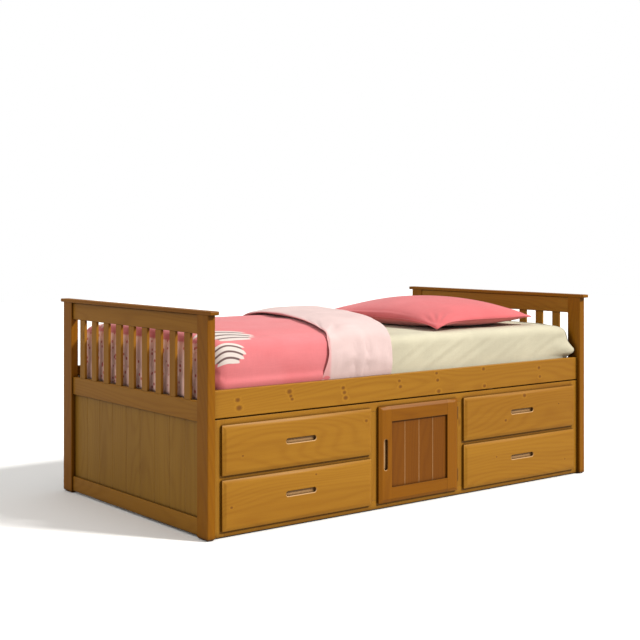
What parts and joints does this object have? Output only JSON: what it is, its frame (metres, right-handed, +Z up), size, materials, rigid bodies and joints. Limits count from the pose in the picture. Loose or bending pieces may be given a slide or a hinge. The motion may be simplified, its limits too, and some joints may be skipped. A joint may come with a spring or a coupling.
{
  "type": "captain's storage bed",
  "caption": "Single pine captain's bed with slatted ends, a chest of pull-out drawers and a hinged cupboard door under the mattress, with duvet and pillow.",
  "frame": {"origin": "on the floor, under the middle of the bed", "axes": "+X along the bed towards the pillow end, +Y from the drawer side to the rear, +Z up"},
  "size_m": [2.006, 1.132, 0.796],
  "materials": {
    "pine_stained": "honey-stained knotty pine, satin lacquer",
    "pine_panel": "honey-stained pine tongue-and-groove boards, satin lacquer",
    "pine_bare": "bare pine, unfinished",
    "plywood": "thin plywood, unfinished",
    "steel_fittings": "zinc-plated steel",
    "bronzed_hinges": "bronze-lacquered steel",
    "catch_plastic": "brown moulded plastic",
    "fitted_sheet": "cream cotton",
    "duvet_cover": "pink cotton with white striped motifs",
    "pillow_cover": "coral pink cotton"
  },
  "bodies": {
    "root": {"foot_post_front": "pine_stained", "foot_post_back": "pine_stained", "foot_cap": "pine_stained", "foot_top_rail": "pine_stained", "foot_middle_rail": "pine_stained", "foot_bottom_rail": "pine_stained", "foot_slats": "pine_stained", "foot_panel_boards": "pine_panel", "head_post_front": "pine_stained", "head_post_back": "pine_stained", "head_cap": "pine_stained", "head_top_rail": "pine_stained", "head_middle_rail": "pine_stained", "head_bottom_rail": "pine_stained", "head_slats": "pine_stained", "head_panel_boards": "pine_panel", "side_rail_front": "pine_stained", "side_rail_back": "pine_stained", "slat_battens": "pine_bare", "bed_slats": "pine_bare", "rail_brackets": "steel_fittings", "bracket_screws": "steel_fittings", "face_end_stiles": "pine_stained", "face_door_stiles": "pine_stained", "face_top_rail": "pine_stained", "face_bottom_rail": "pine_stained", "face_drawer_rails": "pine_stained", "chest_end_panels": "pine_bare", "chest_dividers": "pine_bare", "chest_back": "plywood", "cupboard_floor": "pine_bare", "drawer_runners": "pine_bare", "hinge_frame_leaves": "bronzed_hinges", "hinge_pins": "bronzed_hinges", "door_catch": "catch_plastic", "mattress": "fitted_sheet", "duvet": "duvet_cover", "pillow": "pillow_cover"},
    "upper_foot_drawer": {"upper_foot_drawer_front": "pine_stained", "upper_foot_drawer_sides": "pine_bare", "upper_foot_drawer_back": "pine_bare", "upper_foot_drawer_bottom": "plywood"},
    "upper_head_drawer": {"upper_head_drawer_front": "pine_stained", "upper_head_drawer_sides": "pine_bare", "upper_head_drawer_back": "pine_bare", "upper_head_drawer_bottom": "plywood"},
    "lower_foot_drawer": {"lower_foot_drawer_front": "pine_stained", "lower_foot_drawer_sides": "pine_bare", "lower_foot_drawer_back": "pine_bare", "lower_foot_drawer_bottom": "plywood"},
    "lower_head_drawer": {"lower_head_drawer_front": "pine_stained", "lower_head_drawer_sides": "pine_bare", "lower_head_drawer_back": "pine_bare", "lower_head_drawer_bottom": "plywood"},
    "door": {"door_handle_stile": "pine_stained", "door_hinge_stile": "pine_stained", "door_rails": "pine_stained", "door_boards": "pine_panel", "hinge_door_leaves": "bronzed_hinges", "door_strike": "steel_fittings"}
  },
  "joints": [
    {"name": "upper_foot_drawer_slide", "type": "slide", "parent": "root", "child": "upper_foot_drawer", "axis": [0, -1, 0], "range_m": [0, 0.34]},
    {"name": "upper_head_drawer_slide", "type": "slide", "parent": "root", "child": "upper_head_drawer", "axis": [0, -1, 0], "range_m": [0, 0.34]},
    {"name": "lower_foot_drawer_slide", "type": "slide", "parent": "root", "child": "lower_foot_drawer", "axis": [0, -1, 0], "range_m": [0, 0.34]},
    {"name": "lower_head_drawer_slide", "type": "slide", "parent": "root", "child": "lower_head_drawer", "axis": [0, -1, 0], "range_m": [0, 0.34]},
    {"name": "door_hinge", "type": "hinge", "parent": "root", "child": "door", "pos_m": [0.216, -0.5337, 0.211], "axis": [0, 0, 1], "range_deg": [0, 92]}
  ]
}
